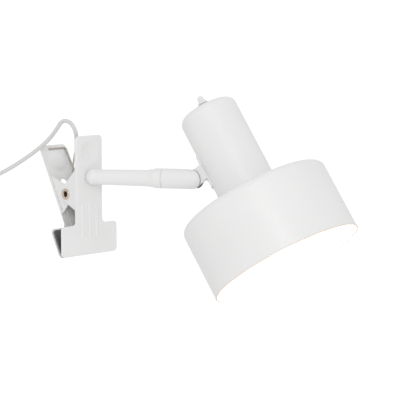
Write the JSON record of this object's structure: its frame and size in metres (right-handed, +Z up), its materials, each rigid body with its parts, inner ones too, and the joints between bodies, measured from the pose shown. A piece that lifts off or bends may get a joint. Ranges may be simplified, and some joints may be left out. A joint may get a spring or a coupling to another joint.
{
  "type": "clip-on reading lamp",
  "caption": "White clip-on reading lamp: sprung steel clamp, short hollow arm, turning knuckle, and a round shade on a cylindrical neck with a push switch.",
  "frame": {"origin": "middle of the line where the lower edges of the two jaw pads meet", "axes": "+X out of the front jaw towards the lamp head, +Y along the jaw's width, +Z up along the front handle"},
  "size_m": [0.3335, 0.2261, 0.2049],
  "materials": {
    "white_paint": "satin powder coat",
    "black_rubber": "matte",
    "brass": "plated",
    "spring_steel": "drawn wire",
    "zinc_steel": "zinc plated",
    "nickel": "nickel plated",
    "white_plastic": "moulded",
    "cord_jacket": "soft PVC",
    "opal_bulb": "opal diffuser"
  },
  "bodies": {
    "clamp": {"front_jaw": "white_paint", "front_pad": "black_rubber", "pivot_rivet": "brass", "torsion_spring": "spring_steel", "power_cord": "cord_jacket", "cord_coil": "cord_jacket", "coil_tie": "white_plastic", "cord_tail": "cord_jacket", "plug_body": "white_plastic", "plug_pins": "nickel"},
    "rear_jaw": {"rear_jaw": "white_paint", "rear_pad": "black_rubber"},
    "arm": {"arm_foot": "white_paint", "arm_tube": "white_paint", "arm_stud": "zinc_steel", "stud_washer": "zinc_steel", "stud_nut": "zinc_steel", "cord_bush": "white_plastic", "arm_collar": "white_paint"},
    "knuckle": {"knuckle_spindle": "zinc_steel", "spindle_washer": "zinc_steel", "knuckle_body": "white_paint", "knuckle_screw": "zinc_steel", "friction_washers": "black_rubber"},
    "head": {"knuckle_tongue": "white_paint", "neck_saddle": "white_paint", "tongue_washer": "zinc_steel", "tongue_nut": "zinc_steel", "neck_housing": "white_paint", "shade": "white_paint", "shade_ring": "white_plastic", "switch_body": "white_plastic", "switch_nut": "zinc_steel", "holder_body": "white_plastic", "holder_shell": "nickel", "holder_contact": "brass", "bulb_cap": "nickel", "bulb_globe": "opal_bulb", "lead_wires": "cord_jacket"},
    "button": {"switch_button": "white_plastic"}
  },
  "joints": [
    {"name": "clamp_open", "type": "hinge", "parent": "clamp", "child": "rear_jaw", "pos_m": [-0.0112, 0, 0.0485], "axis": [0, 1, 0], "range_deg": [0, 36], "stiffness_Nm_per_rad": 0.6, "springref_deg": -34.38, "deforming": ["torsion_spring"]},
    {"name": "arm_swivel", "type": "hinge", "parent": "clamp", "child": "arm", "pos_m": [0.0073, 0, 0.0633], "axis": [1, 0, 0], "range_deg": [-110, 110]},
    {"name": "knuckle_turn", "type": "hinge", "parent": "arm", "child": "knuckle", "pos_m": [0.05847, 0.03075, 0.0633], "axis": [0.8572, 0.515, 0], "range_deg": [-150, 150]},
    {"name": "head_tilt", "type": "hinge", "parent": "knuckle", "child": "head", "pos_m": [0.08213, 0.04496, 0.0633], "axis": [0.0355, -0.9979, -0.0536], "range_deg": [-45, 30]},
    {"name": "switch_push", "type": "slide", "parent": "head", "child": "button", "axis": [0.5517, 0.0643, -0.8315], "range_m": [0, 0.0025], "stiffness_N_per_m": 400, "springref_m": -0.001}
  ]
}
